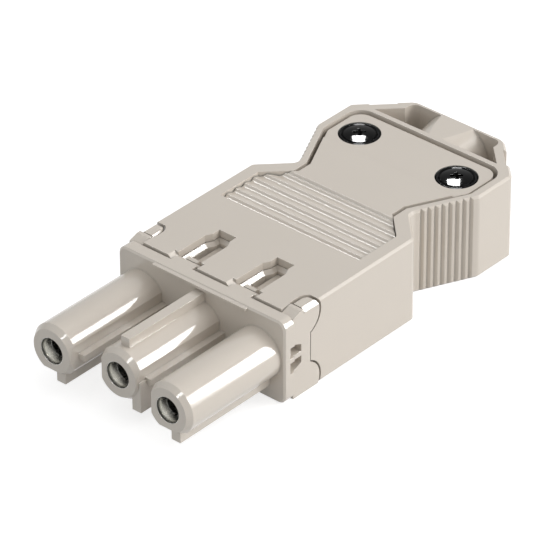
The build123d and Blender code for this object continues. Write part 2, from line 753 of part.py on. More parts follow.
def flute(start):
    """Section of one flute of the bending band: a gentle fall, then a steep rise."""
    top = BODY_HEIGHT - BAND_DROP
    turn = start + BAND_PITCH * FLUTE_TURN
    valley = start + BAND_PITCH * FLUTE_VALLEY
    end = start + BAND_PITCH
    rise = (valley + end) / 2
    bend = top - FLUTE_DEPTH * FLUTE_BEND
    edge = [
        ThreePointArc((start, top), ((start + turn) / 2, top - FLUTE_DEPTH / 4), (turn, bend)),
        ThreePointArc((turn, bend), (valley, top - FLUTE_DEPTH), (rise, bend)),
        Line((rise, bend), (end, top)),
        Line((end, top), (end, top + PAST)),
        Line((end, top + PAST), (start, top + PAST)),
        Line((start, top + PAST), (start, top)),
    ]
    return make_face(edge)


def clamp_flap():
    """The flap: fluted bending band, neck, screw plate and the bars that grip the cable."""
    plan = extrude(flap_outline(), BODY_HEIGHT)
    top = BODY_HEIGHT
    band_top = top - BAND_DROP
    low = FLAP_LOW
    band_low = band_top - BAND_THICKNESS
    plate_top = top - SCREW_PLATE_DROP
    edge = [
        (FLAP_FRONT, band_low),
        (BAND_REAR, band_low),
        (BAND_REAR + PAST, low),
        (FLAP_REAR, low),
        (FLAP_REAR, plate_top),
        (SCREW_PLATE_START, plate_top),
        (SCREW_PLATE_START, top),
        (BAND_REAR, top),
        (BAND_REAR - BAND_DROP, band_top),
        (FLAP_FRONT, band_top),
    ]
    body = along_x(outline(edge), -FAR, FAR) & plan
    for i in range(BAND_FLUTES):
        body -= along_x(flute(FLAP_FRONT + FIRST_CREST + BAND_PITCH * (i - 1)), -FAR, FAR)
    for place in strain_places().values():
        body += rod(FLAP_BOSS_RADIUS, FLAP_BOSS_BOTTOM, low, "z", place)
        body -= rod(STRAIN_RECESS_RADIUS, top - STRAIN_RECESS_DEPTH, top + PAST, "z", place)
        body -= rod(FLAP_HOLE_RADIUS, FLAP_BOSS_BOTTOM - PAST, top, "z", place)
    for i in range(PRESS_BARS):
        y = STRAIN_SCREW_PLACE + (i - (PRESS_BARS - 1) / 2) * PRESS_BAR_PITCH
        ridge = [
            (y - PRESS_BAR_WIDTH / 2, low),
            (y, low - PRESS_BAR_DROP),
            (y + PRESS_BAR_WIDTH / 2, low),
        ]
        body += along_x(outline(ridge), -PRESS_BAR_LENGTH / 2, PRESS_BAR_LENGTH / 2)
    return body


def strain_screw(place):
    """A round-headed screw with a cross recess, standing in the flap and a boss."""
    x, y = place
    seat = BODY_HEIGHT - STRAIN_RECESS_DEPTH + STRAIN_HEAD_LIFT
    top = seat + STRAIN_HEAD_HEIGHT
    screw = rod(STRAIN_HEAD_RADIUS, seat, top, "z")
    screw += rod(STRAIN_SCREW_RADIUS, STRAIN_SCREW_TIP, seat, "z")
    for angle in (45, 135):
        bar = Rot(0, 0, angle) * Box(CROSS_LENGTH, CROSS_WIDTH, 2 * CROSS_DEPTH)
        screw -= Pos(0, 0, top) * bar
    return Pos(x, y, 0) * screw


def square_nut(place):
    """A square nut in the recess below a boss."""
    x, y = place
    nut = span(
        (x - NUT_WIDTH / 2, y - NUT_WIDTH / 2, NUT_RECESS),
        (x + NUT_WIDTH / 2, y + NUT_WIDTH / 2, NUT_RECESS + NUT_HEIGHT),
    )
    nut = chamfer(nut.edges().filter_by(Axis.Z), NUT_CORNER)
    return nut - rod(NUT_BORE_RADIUS, 0, BOSS_TOP, "z", place)


def cable_saddle():
    """The loose saddle below the cable: a trough with teeth across it."""
    block = span((-SADDLE_HALF, SADDLE_FRONT, WALL), (SADDLE_HALF, SADDLE_REAR, SADDLE_TOP))
    axis = (0, WALL + SADDLE_FLOOR + SADDLE_TROUGH_RADIUS)
    trough = rod(SADDLE_TROUGH_RADIUS, SADDLE_FRONT, SADDLE_REAR, "y", axis)
    tips = rod(SADDLE_TROUGH_RADIUS - SADDLE_TOOTH_HEIGHT, SADDLE_FRONT, SADDLE_REAR, "y", axis)
    toothed = block - tips
    body = block - trough
    step = (SADDLE_REAR - SADDLE_FRONT) / SADDLE_TEETH
    for i in range(SADDLE_TEETH):
        y = SADDLE_FRONT + step * (i + 0.5)
        body += toothed & span((-FAR, y - SADDLE_TOOTH / 2, 0), (FAR, y + SADDLE_TOOTH / 2, FAR))
    return body


def contact_front(pole):
    """Where the contact of a pole begins along Y, just behind the entry hole."""
    return nose_face(pole) + ENTRY_DEPTH + CONTACT_FIT


def socket_contact(pole):
    """A slotted socket sleeve with a stepped body and a flat tail into the cage."""
    x = POLES[pole]
    front = contact_front(pole)
    spring_end = front + SPRING_LENGTH
    tail_front = CHAMBER_FRONT + CONTACT_FIT
    body_end = tail_front + TAIL_THICKNESS
    points = [
        (CONTACT_BORE, front),
        (CONTACT_RADIUS, front),
        (CONTACT_RADIUS, spring_end),
        (CONTACT_BODY_RADIUS, spring_end),
        (CONTACT_BODY_RADIUS, body_end),
        (0, body_end),
        (0, front + CONTACT_BORE_LENGTH),
        (CONTACT_BORE, front + CONTACT_BORE_LENGTH),
    ]
    sleeve = turned(points, (x, POLE_HEIGHT))
    tail_end = CAGE_FRONT + CAGE_LENGTH - TAIL_END_GAP
    tail_floor = CAGE_BOTTOM + CAGE_FLOOR
    tail_low = (x - TAIL_HALF, tail_front, tail_floor)
    sleeve += span(tail_low, (x + TAIL_HALF, body_end, POLE_HEIGHT))
    sleeve += span(tail_low, (x + TAIL_HALF, tail_end, tail_floor + TAIL_THICKNESS))
    slot = span(
        (x - CONTACT_SLOT / 2, front - PAST, POLE_HEIGHT - FAR),
        (x + CONTACT_SLOT / 2, front + CONTACT_SLOT_LENGTH, POLE_HEIGHT + FAR),
    )
    return sleeve - slot


def contact_spring(pole):
    """The C-shaped steel sleeve that presses the contact's two halves together."""
    start = contact_front(pole) + CONTACT_FIT
    end = start + SPRING_LENGTH - 2 * CONTACT_FIT
    inner = CONTACT_RADIUS + CONTACT_FIT / 2
    outer = inner + SPRING_WALL
    ring = turned([(inner, start), (outer, start), (outer, end), (inner, end)], (0, 0))
    half = radians(SPRING_GAP_ANGLE / 2)
    reach = 2 * outer * cos(half)
    rise = 2 * outer * sin(half)
    gap = outline([(0, 0), (reach, -rise), (reach, rise)])
    ring -= along_y(gap, start - PAST, end + PAST)
    return Pos(POLES[pole], 0, POLE_HEIGHT) * ring


def terminal_cage(pole):
    """The brass cage that takes the wire, with a threaded top."""
    x = POLES[pole]
    rear = CAGE_FRONT + CAGE_LENGTH
    cage = span((x - CAGE_HALF, CAGE_FRONT, CAGE_BOTTOM), (x + CAGE_HALF, rear, CAGE_TOP))
    inner = CAGE_HALF - CAGE_WALL
    cage -= span(
        (x - inner, CAGE_FRONT - PAST, CAGE_BOTTOM + CAGE_FLOOR),
        (x + inner, rear + PAST, CAGE_TOP - CAGE_ROOF),
    )
    thread_low = CAGE_TOP - CAGE_ROOF - PAST
    return cage - rod(CLAMP_SCREW_BORE, thread_low, CAGE_TOP + PAST, "z", (x, CLAMP_PLACE))


def terminal_screw(pole):
    """A headless slotted clamp screw in the top of the cage."""
    place = (POLES[pole], CLAMP_PLACE)
    top = CLAMP_TIP + CLAMP_SCREW_LENGTH
    screw = rod(CLAMP_SCREW_RADIUS, CLAMP_TIP, top, "z", place)
    slot_low = (-FAR, CLAMP_PLACE - CLAMP_SLOT_WIDTH / 2, top - CLAMP_SLOT_DEPTH)
    return screw - span(slot_low, (FAR, CLAMP_PLACE + CLAMP_SLOT_WIDTH / 2, FAR))


def pressure_plate(pole):
    """The thin plate under a clamp screw's tip that spares the wire."""
    x = POLES[pole]
    y = CLAMP_PLACE
    half = CAGE_HALF - CAGE_WALL - PRESSURE_PLATE_GAP
    reach = PRESSURE_PLATE_LENGTH / 2
    low = CLAMP_TIP - PRESSURE_PLATE_THICKNESS
    plate = span((x - half, y - reach, low), (x + half, y + reach, CLAMP_TIP))
    return fillet(plate.edges().filter_by(Axis.X).group_by(Axis.Z)[0], PRESSURE_PLATE_EDGE)


def write_node(name, shape):
    """Write one piece, moved so that the middle of the length is at Y = 0."""
    placed = Pos(0, -CENTRE, 0) * shape
    solids = placed.solids()
    result = solids[0] if len(solids) == 1 else Compound(children=list(solids))
    export_step(result, os.path.join("parts", name + ".step"))


def main():
    """Build every piece and write its STEP file."""
    os.makedirs("parts", exist_ok=True)
    write_node("contact_carrier", contact_carrier())
    write_node("rear_housing", rear_housing())
    write_node("clamp_flap", clamp_flap())
    write_node("cable_saddle", cable_saddle())
    for name, side in (("left", -1), ("right", 1)):
        write_node("latch_tongue_" + name, latch_tongue(side))
        write_node("strain_screw_" + name, strain_screw(strain_places()[name]))
        write_node("screw_nut_" + name, square_nut(strain_places()[name]))
    for pole in POLES:
        write_node("socket_contact_" + pole, socket_contact(pole))
        write_node("contact_spring_" + pole, contact_spring(pole))
        write_node("terminal_cage_" + pole, terminal_cage(pole))
        write_node("terminal_screw_" + pole, terminal_screw(pole))
        write_node("pressure_plate_" + pole, pressure_plate(pole))


main()
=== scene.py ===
"""Dresses a three-pole female power connector and lights it in a plain studio.

Lengths are in metres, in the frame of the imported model: +X runs along the row of noses,
+Y points towards the cable and +Z is up. The origin lies under the middle of the footprint.
"""

import json
import logging
import math
from collections.abc import Callable, Iterator
from contextlib import contextmanager
from dataclasses import dataclass, field
from enum import Enum
from typing import ClassVar

import bmesh
import bpy
from mathutils import Matrix, Vector

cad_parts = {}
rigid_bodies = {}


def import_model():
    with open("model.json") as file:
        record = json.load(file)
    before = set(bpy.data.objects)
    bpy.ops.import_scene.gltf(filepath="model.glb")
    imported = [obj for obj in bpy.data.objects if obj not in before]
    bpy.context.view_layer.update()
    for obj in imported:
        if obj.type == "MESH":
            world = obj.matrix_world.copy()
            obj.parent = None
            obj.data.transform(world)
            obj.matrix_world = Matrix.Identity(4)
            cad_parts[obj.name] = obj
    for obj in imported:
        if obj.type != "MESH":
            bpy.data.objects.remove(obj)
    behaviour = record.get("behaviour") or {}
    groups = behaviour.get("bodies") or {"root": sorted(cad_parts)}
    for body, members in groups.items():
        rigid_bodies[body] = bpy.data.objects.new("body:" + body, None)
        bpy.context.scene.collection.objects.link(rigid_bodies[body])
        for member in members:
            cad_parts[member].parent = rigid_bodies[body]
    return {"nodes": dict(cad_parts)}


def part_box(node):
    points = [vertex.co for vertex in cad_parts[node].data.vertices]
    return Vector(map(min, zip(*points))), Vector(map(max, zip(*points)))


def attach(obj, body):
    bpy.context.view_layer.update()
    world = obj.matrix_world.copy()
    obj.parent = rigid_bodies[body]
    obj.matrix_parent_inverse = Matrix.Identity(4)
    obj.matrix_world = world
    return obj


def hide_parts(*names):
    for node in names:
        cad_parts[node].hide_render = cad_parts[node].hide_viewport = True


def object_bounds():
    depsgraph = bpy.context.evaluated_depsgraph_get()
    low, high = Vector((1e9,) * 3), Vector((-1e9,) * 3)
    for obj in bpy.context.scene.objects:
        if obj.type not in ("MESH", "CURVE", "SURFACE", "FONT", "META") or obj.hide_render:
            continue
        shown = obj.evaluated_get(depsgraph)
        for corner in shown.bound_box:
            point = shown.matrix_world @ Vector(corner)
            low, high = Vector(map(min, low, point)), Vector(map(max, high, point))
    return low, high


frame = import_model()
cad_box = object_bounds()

log = logging.getLogger("connector")

MM = 0.001
FULL_TURN = 2 * math.pi
QUARTER_TURN = math.pi / 2
MERGE_GAP = 0.002 * MM
SHADING_SAMPLES = 6
WHITE = (1.0, 1.0, 1.0, 1.0)

Colour = tuple[float, float, float]
Profile = list[tuple[float, float]]


class Pole(Enum):
    """The three poles, by the names of their nodes."""

    LIVE = "live"
    EARTH = "earth"
    NEUTRAL = "neutral"


class Side(Enum):
    """The two sides of the connector, by the names of their nodes."""

    LEFT = "left"
    RIGHT = "right"


class Bench:
    """Modelling moves that the pieces share, made with the operators that a modeller uses."""

    THREAD_FLAT_SHARE = 1 / 8

    @staticmethod
    def clear() -> None:
        """Leaves edit mode and deselects every object."""
        if bpy.context.mode != "OBJECT":
            bpy.ops.object.mode_set(mode="OBJECT")
        for other in bpy.context.view_layer.objects:
            other.select_set(False)

    @staticmethod
    def hold(piece: bpy.types.Object) -> None:
        """Makes one piece the only selected and the active object.

        Args:
            piece: The object to work on.
        """
        Bench.clear()
        piece.select_set(True)
        bpy.context.view_layer.objects.active = piece

    @staticmethod
    def named(name: str) -> bpy.types.Object:
        """Names the primitive that was just added.

        Args:
            name: The piece's name, in plain words.

        Returns:
            The active object, with its mesh named alike.
        """
        piece = bpy.context.active_object
        piece.name = piece.data.name = name
        return piece

    @staticmethod
    @contextmanager
    def editing(piece: bpy.types.Object) -> Iterator[None]:
        """Opens a piece in edit mode with nothing selected, and closes it again.

        Args:
            piece: The mesh object to edit.
        """
        Bench.hold(piece)
        bpy.ops.object.mode_set(mode="EDIT")
        bpy.ops.mesh.select_mode(type="VERT")
        bpy.ops.mesh.select_all(action="DESELECT")
        yield
        bpy.ops.object.mode_set(mode="OBJECT")

    @staticmethod
    def pick_faces(piece: bpy.types.Object, wanted: Callable[[bmesh.types.BMFace], bool]) -> None:
        """Selects the faces that pass a test, and only those.

        Args:
            piece: The mesh object in edit mode.
            wanted: Says whether a face is to be selected.
        """
        bpy.ops.mesh.select_mode(type="FACE")
        shape = bmesh.from_edit_mesh(piece.data)
        for face in shape.faces:
            face.select_set(wanted(face))
        bmesh.update_edit_mesh(piece.data)

    @staticmethod
    def close_up(piece: bpy.types.Object) -> None:
        """Merges doubled points and turns every face outwards.

        Args:
            piece: The mesh object to clean.
        """
        with Bench.editing(piece):
            bpy.ops.mesh.select_all(action="SELECT")
            bpy.ops.mesh.remove_doubles(threshold=MERGE_GAP)
            bpy.ops.mesh.normals_make_consistent(inside=False)

    @staticmethod
    def finish(piece: bpy.types.Object, kind: str, **settings: object) -> None:
        """Adds a modifier with its settings and applies it.

        Args:
            piece: The mesh object to change.
            kind: The modifier's type, such as BEVEL.
            settings: Values of the modifier's properties.
        """
        Bench.hold(piece)
        modifier = piece.modifiers.new(kind.lower(), kind)
        for name, value in settings.items():
            setattr(modifier, name, value)
        bpy.ops.object.modifier_apply(modifier=modifier.name)

    @staticmethod
    def combine(piece: bpy.types.Object, tool: bpy.types.Object, operation: str) -> None:
        """Joins a tool to a piece, or cuts it out of it, and removes the tool.

        Args:
            piece: The mesh object that is kept.
            tool: The mesh object that is used up.
            operation: UNION or DIFFERENCE.
        """
        Bench.finish(piece, "BOOLEAN", operation=operation, object=tool, solver="EXACT")
        bpy.data.objects.remove(tool)

    @staticmethod
    def bake_place(piece: bpy.types.Object) -> None:
        """Puts a piece's place, turn and scale into its mesh.

        Args:
            piece: The mesh object, left at the origin, unturned and unscaled.
        """
        Bench.hold(piece)
        bpy.ops.object.transform_apply(location=True, rotation=True, scale=True)

    @staticmethod
    def settle(piece: bpy.types.Object, sharp: float = 32.0) -> None:
        """Puts a piece's place into its mesh and shades it smooth up to an angle.

        Args:
            piece: The finished mesh object.
            sharp: Edges that turn by more than this many degrees stay sharp.
        """
        Bench.bake_place(piece)
        bpy.ops.object.shade_smooth_by_angle(angle=math.radians(sharp))

    @staticmethod
    def draw(name: str, points: Profile) -> bpy.types.Object:
        """Draws an open line in the XZ plane, one extruded point after another.

        Args:
            name: The piece's name.
            points: Distance from the upright axis and height of each point.

        Returns:
            A mesh object that holds the line.
        """
        Bench.clear()
        bpy.ops.mesh.primitive_plane_add(size=MM)
        piece = Bench.named(name)
        with Bench.editing(piece):
            bpy.ops.mesh.select_all(action="SELECT")
            bpy.ops.mesh.merge(type="CENTER")
            (radius, height), *others = points
            bpy.ops.transform.translate(value=(radius, 0.0, height))
            for next_radius, next_height in others:
                step = (next_radius - radius, 0.0, next_height - height)
                bpy.ops.mesh.extrude_region_move(TRANSFORM_OT_translate={"value": step})
                radius, height = next_radius, next_height
        return piece

    @staticmethod
    def turn(name: str, points: Profile, steps: int) -> bpy.types.Object:
        """Turns a drawn half section round the upright axis into a closed solid.

        Args:
            name: The piece's name.
            points: The half section, from one point on the axis to another.
            steps: Faces round the axis.

        Returns:
            The turned solid, with its axis on the origin.
        """
        piece = Bench.draw(name, points)
        with Bench.editing(piece):
            bpy.ops.mesh.select_all(action="SELECT")
            bpy.ops.mesh.spin(steps=steps, angle=FULL_TURN, center=(0, 0, 0), axis=(0, 0, 1))
        Bench.close_up(piece)
        return piece

    @staticmethod
    def thread(name: str, root: float, crest: float, pitch: float, low: float, high: float,
               steps: int = 28) -> bpy.types.Object:
        """Winds a thread round the upright axis and cuts both its ends flat.

        Args:
            name: The piece's name.
            root: Radius at the bottom of the thread.
            crest: Radius at its top.
            pitch: Height of one turn.
            low: Height of the lower end.
            high: Height of the upper end.
            steps: Faces in one turn.

        Returns:
            A closed threaded rod, with its axis on the origin.
        """
        flat = pitch * Bench.THREAD_FLAT_SHARE
        flank = (pitch - 2 * flat) / 2
        start = low - pitch
        points = [(root, start), (root, start + flat), (crest, start + flat + flank),
                  (crest, start + 2 * flat + flank), (root, start + pitch)]
        piece = Bench.draw(name, points)
        turns = math.ceil((high - low) / pitch) + 2
        Bench.finish(piece, "SCREW", axis="Z", angle=FULL_TURN, screw_offset=pitch,
                     iterations=turns, steps=steps, render_steps=steps,
                     use_merge_vertices=True, merge_threshold=MERGE_GAP)
        for height, way in ((low, -1), (high, 1)):
            with Bench.editing(piece):
                bpy.ops.mesh.select_all(action="SELECT")
                bpy.ops.mesh.bisect(plane_co=(0, 0, height), plane_no=(0, 0, way),
                                    use_fill=True, clear_outer=True)
        Bench.close_up(piece)
        return piece


class Board:
    """The nodes of one material or shader group, and the links between them."""

    def __init__(self, tree: bpy.types.NodeTree) -> None:
        """Starts with an empty tree.

        Args:
            tree: The node tree to fill.
        """
        tree.nodes.clear()
        self.tree = tree

    def add(self, kind: str, values: dict[str | int, object] | None = None,
            **settings: object) -> bpy.types.Node:
        """Adds a node.

        Args:
            kind: The node's type, such as ShaderNodeBump.
            values: Values of its input sockets, by name or number.
            settings: Values of the node's own properties.

        Returns:
            The new node.
        """
        node = self.tree.nodes.new(kind)
        for name, value in settings.items():
            setattr(node, name, value)
        for name, value in (values or {}).items():
            node.inputs[name].default_value = value
        return node

    def join(self, output: bpy.types.NodeSocket, target: bpy.types.NodeSocket) -> None:
        """Links two sockets.

        Args:
            output: The socket that the value comes from.
            target: The socket that it goes to.
        """
        self.tree.links.new(output, target)

    def math(self, operation: str, first: object, second: object = 0.0) -> bpy.types.NodeSocket:
        """Adds a Math node.

        Args:
            operation: What it does, such as MULTIPLY.
            first: A socket or a number.
            second: A socket or a number.

        Returns:
            The node's output.
        """
        node = self.add("ShaderNodeMath", operation=operation)
        for socket, value in zip(node.inputs, (first, second)):
            if isinstance(value, bpy.types.NodeSocket):
                self.join(value, socket)
            else:
                socket.default_value = value
        return node.outputs[0]

    def blend(self, mask: bpy.types.NodeSocket, low: Colour | bpy.types.NodeSocket,
              high: Colour) -> bpy.types.NodeSocket:
        """Mixes two colours by a mask.

        Args:
            mask: The mask, from 0 to 1.
            low: The colour where the mask is 0, or its socket.
            high: The colour where it is 1.

        Returns:
            The mixed colour.
        """
        node = self.add("ShaderNodeMix", data_type="RGBA", clamp_factor=True)
        self.join(mask, node.inputs["Factor"])
        if isinstance(low, bpy.types.NodeSocket):
            self.join(low, node.inputs["A"])
        else:
            node.inputs["A"].default_value = (*low, 1.0)
        node.inputs["B"].default_value = (*high, 1.0)
        return node.outputs["Result"]

    def span(self, mask: bpy.types.NodeSocket, low: float, high: float) -> bpy.types.NodeSocket:
        """Spreads a mask between two values.

        Args:
            mask: The mask, from 0 to 1.
            low: The value where the mask is 0.
            high: The value where it is 1.

        Returns:
            The value's socket.
        """
        node = self.add("ShaderNodeMapRange", {"To Min": low, "To Max": high})
        self.join(mask, node.inputs["Value"])
        return node.outputs["Result"]


@dataclass(frozen=True)
class GroupPort:
    """One socket on the outside of a shader group."""

    name: str
    kind: str = "NodeSocketFloat"
    default: float | None = None


class ShaderGroups:
    """Shader groups that several finishes use, each built once."""

    EDGE_GAIN = 6.0
    RING_STRETCH = (0.08, 1.0, 0.08)

    def __init__(self) -> None:
        """Builds every group."""
        self.mould_grain = self._mould_grain()
        self.soft_edges = self._soft_edges()
        self.crevice_shade_mask = self._crevice_shade_mask()
        self.turned_marks = self._turned_marks()

    @staticmethod
    def _open(name: str, inputs: list[GroupPort], outputs: list[GroupPort]
              ) -> tuple[Board, bpy.types.NodeOutputs, bpy.types.NodeInputs]:
        """Starts a group with its named sockets.

        Args:
            name: The group's name.
            inputs: Its input sockets.
            outputs: Its output sockets.

        Returns:
            The group's board, the outputs of its input node and the inputs of its output node.
        """
        tree = bpy.data.node_groups.new(name, "ShaderNodeTree")
        for port in inputs:
            socket = tree.interface.new_socket(port.name, in_out="INPUT", socket_type=port.kind)
            if port.default is not None:
                socket.default_value = port.default
        for port in outputs:
            tree.interface.new_socket(port.name, in_out="OUTPUT", socket_type=port.kind)
        board = Board(tree)
        entry = board.add("NodeGroupInput")
        leave = board.add("NodeGroupOutput")
        return board, entry.outputs, leave.inputs

    def _mould_grain(self) -> bpy.types.NodeTree:
        """Fine grain of a moulding tool, with the slow mottle of the plastic.

        Returns:
            The group, with outputs Height and Mottle.
        """
        board, given, out = self._open(
            "mould_grain",
            [GroupPort("Grain Scale", default=9000.0), GroupPort("Mottle Scale", default=90.0)],
            [GroupPort("Height"), GroupPort("Mottle")])
        place = board.add("ShaderNodeTexCoord").outputs["Object"]
        grain = board.add("ShaderNodeTexNoise", {"Detail": 2.0, "Roughness": 0.6})
        mottle = board.add("ShaderNodeTexNoise", {"Detail": 4.0, "Roughness": 0.55})
        for node, port in ((grain, "Grain Scale"), (mottle, "Mottle Scale")):
            board.join(place, node.inputs["Vector"])
            board.join(given[port], node.inputs["Scale"])
        board.join(grain.outputs["Fac"], out["Height"])
        board.join(mottle.outputs["Fac"], out["Mottle"])
        return board.tree

    def _soft_edges(self) -> bpy.types.NodeTree:
        """Rounded edges in the shading, with a mask of where they are, for a painted sheen along
        them.

        Returns:
            The group, with outputs Normal and Edge.
        """
        board, given, out = self._open(
            "soft_edges",
            [GroupPort("Radius", default=0.12 * MM)],
            [GroupPort("Normal", "NodeSocketVector"), GroupPort("Edge")])
        rounding = board.add("ShaderNodeBevel", samples=SHADING_SAMPLES)
        board.join(given["Radius"], rounding.inputs["Radius"])
        surface = board.add("ShaderNodeNewGeometry").outputs["Normal"]
        likeness = board.add("ShaderNodeVectorMath", operation="DOT_PRODUCT")
        board.join(rounding.outputs["Normal"], likeness.inputs[0])
        board.join(surface, likeness.inputs[1])
        turned = board.math("SUBTRACT", 1.0, likeness.outputs["Value"])
        board.join(rounding.outputs["Normal"], out["Normal"])
        board.join(board.math("MULTIPLY", turned, self.EDGE_GAIN), out["Edge"])
        return board.tree

    def _crevice_shade_mask(self) -> bpy.types.NodeTree:
        """A mask of seams, slots and inner corners, for painted shade there.

        Returns:
            The group, with output Depth, which is 0 on open faces.
        """
        board, given, out = self._open(
            "crevice_shade_mask", [GroupPort("Reach", default=0.5 * MM)], [GroupPort("Depth")])
        cover = board.add("ShaderNodeAmbientOcclusion", samples=SHADING_SAMPLES)
        board.join(given["Reach"], cover.inputs["Distance"])
        board.join(board.math("SUBTRACT", 1.0, cover.outputs["AO"]), out["Depth"])
        return board.tree

    def _turned_marks(self) -> bpy.types.NodeTree:
        """Fine rings that a lathe or a drawing die leaves, and the stains between them.

        Returns:
            The group, with outputs Height and Stain.
        """
        board, given, out = self._open(
            "turned_marks",
            [GroupPort("Ring Scale", default=5000.0), GroupPort("Stain Scale", default=400.0)],
            [GroupPort("Height"), GroupPort("Stain")])
        place = board.add("ShaderNodeTexCoord").outputs["Object"]
        squeeze = board.add("ShaderNodeMapping", {"Scale": self.RING_STRETCH})
        board.join(place, squeeze.inputs["Vector"])
        rings = board.add("ShaderNodeTexNoise", {"Detail": 3.0, "Roughness": 0.6})
        board.join(squeeze.outputs["Vector"], rings.inputs["Vector"])
        board.join(given["Ring Scale"], rings.inputs["Scale"])
        stain = board.add("ShaderNodeTexNoise", {"Detail": 3.0, "Roughness": 0.5})
        board.join(place, stain.inputs["Vector"])
        board.join(given["Stain Scale"], stain.inputs["Scale"])
        board.join(rings.outputs["Fac"], out["Height"])
        board.join(stain.outputs["Fac"], out["Stain"])
        return board.tree


@dataclass(frozen=True)
class MouldedPlastic:
    """Glossy moulded polyamide with a fine grain, softened edges, a painted sheen along the edges
    and painted shade in seams and inner corners.
    """

    name: str
    colour: Colour
    roughness: float = 0.16
    roughness_spread: float = 0.15
    mottle: float = 0.02
    edge_sheen_lift: float = 0.18
    edge_radius: float = 0.20 * MM
    grain_depth: float = 0.0006 * MM
    grain_scale: float = 7000.0
    # Colour, reach and strength of the painted shade in seams, slots and inner corners.
    crevice_shade_colour: Colour = (0.26, 0.26, 0.24)
    crevice_shade_reach: float = 0.35 * MM
    crevice_shade_share: float = 0.8

    def make(self, groups: ShaderGroups) -> bpy.types.Material:
        """Builds the material.

        Args:
            groups: The shared shader groups.

        Returns:
            The material, ready for a slot.
        """
        material, board, surface = new_material(self.name)
        grain = board.add("ShaderNodeGroup", node_tree=groups.mould_grain)
        grain.inputs["Grain Scale"].default_value = self.grain_scale
        edges = board.add("ShaderNodeGroup", node_tree=groups.soft_edges)
        edges.inputs["Radius"].default_value = self.edge_radius
        darker = tuple(part * (1 - self.mottle) for part in self.colour)
        lighter = tuple(part * (1 + self.mottle) for part in self.colour)
        # Painted sheen: the base colour is lightened along the edges to stand in for highlights.
        sheen_colour = tuple(part * (1 + self.edge_sheen_lift) for part in self.colour)
        body = board.blend(grain.outputs["Mottle"], darker, lighter)
        painted_edge_sheen = board.blend(edges.outputs["Edge"], body, sheen_colour)
        # Painted shade: seams, slots and inner corners are darkened in the base colour by ambient
        # occlusion.
        crevice_shade_mask = board.add("ShaderNodeGroup", node_tree=groups.crevice_shade_mask)
        crevice_shade_mask.inputs["Reach"].default_value = self.crevice_shade_reach
        depth = board.math("MULTIPLY", crevice_shade_mask.outputs["Depth"], self.crevice_shade_share)
        board.join(board.blend(depth, painted_edge_sheen, self.crevice_shade_colour), surface.inputs["Base Color"])
        rough = board.span(grain.outputs["Mottle"], self.roughness * (1 - self.roughness_spread),
                           self.roughness * (1 + self.roughness_spread))
        board.join(rough, surface.inputs["Roughness"])
        bump = board.add("ShaderNodeBump", {"Strength": 1.0, "Distance": self.grain_depth})
        board.join(grain.outputs["Height"], bump.inputs["Height"])
        board.join(edges.outputs["Normal"], bump.inputs["Normal"])
        board.join(bump.outputs["Normal"], surface.inputs["Normal"])
        return material


@dataclass(frozen=True)
class PlatedMetal:
    """Turned or drawn metal under a thin plating."""

    name: str
    colour: Colour
    stain: Colour
    roughness: float = 0.25
    dull_share: float = 1.3
    polished_share: float = 0.8
    mark_strength: float = 0.6
    mark_depth: float = 0.002 * MM
    ring_scale: float = 5000.0
    edge_radius: float = 0.08 * MM

    def make(self, groups: ShaderGroups) -> bpy.types.Material:
        """Builds the material.

        Args:
            groups: The shared shader groups.

        Returns:
            The material, ready for a slot.
        """
        material, board, surface = new_material(self.name)
        marks = board.add("ShaderNodeGroup", node_tree=groups.turned_marks)
        marks.inputs["Ring Scale"].default_value = self.ring_scale
        edges = board.add("ShaderNodeGroup", node_tree=groups.soft_edges)
        edges.inputs["Radius"].default_value = self.edge_radius
        board.join(board.blend(marks.outputs["Stain"], self.stain, self.colour),
                   surface.inputs["Base Color"])
        rough = board.span(marks.outputs["Stain"], self.roughness * self.dull_share,
                           self.roughness * self.polished_share)
        board.join(rough, surface.inputs["Roughness"])
        bump = board.add("ShaderNodeBump",
                         {"Strength": self.mark_strength, "Distance": self.mark_depth})
        board.join(marks.outputs["Height"], bump.inputs["Height"])
        board.join(edges.outputs["Normal"], bump.inputs["Normal"])
        board.join(bump.outputs["Normal"], surface.inputs["Normal"])
        surface.inputs["Metallic"].default_value = 1.0
        return material


@dataclass(frozen=True)
class BlackEnamel:
    """Gloss black finish of the strain relief screws, with a painted sheen that lightens its edges.
    """

    name: str
    colour: Colour = (0.002, 0.002, 0.002)
    painted_edge_sheen: Colour = (0.03, 0.03, 0.031)
    roughness: float = 0.07
    polished_share: float = 0.7
    dull_share: float = 1.5
    reflectivity: float = 0.05
    grain_scale: float = 5000.0
    mottle_scale: float = 900.0
    grain_strength: float = 0.4
    grain_depth: float = 0.0005 * MM
    edge_radius: float = 0.06 * MM

    def make(self, groups: ShaderGroups) -> bpy.types.Material:
        """Builds the material.

        Args:
            groups: The shared shader groups.

        Returns:
            The material, ready for a slot.
        """
        material, board, surface = new_material(self.name)
        grain = board.add("ShaderNodeGroup", node_tree=groups.mould_grain)
        grain.inputs["Grain Scale"].default_value = self.grain_scale
        grain.inputs["Mottle Scale"].default_value = self.mottle_scale
        edges = board.add("ShaderNodeGroup", node_tree=groups.soft_edges)
        edges.inputs["Radius"].default_value = self.edge_radius
        # Painted sheen: the base colour is lightened along the edges.
        board.join(board.blend(edges.outputs["Edge"], self.colour, self.painted_edge_sheen),
                   surface.inputs["Base Color"])
        rough = board.span(grain.outputs["Mottle"], self.roughness * self.polished_share,
                           self.roughness * self.dull_share)
        board.join(rough, surface.inputs["Roughness"])
        bump = board.add("ShaderNodeBump",
                         {"Strength": self.grain_strength, "Distance": self.grain_depth})
        board.join(grain.outputs["Height"], bump.inputs["Height"])
        board.join(edges.outputs["Normal"], bump.inputs["Normal"])
        board.join(bump.outputs["Normal"], surface.inputs["Normal"])
        surface.inputs["Specular IOR Level"].default_value = self.reflectivity
        return material


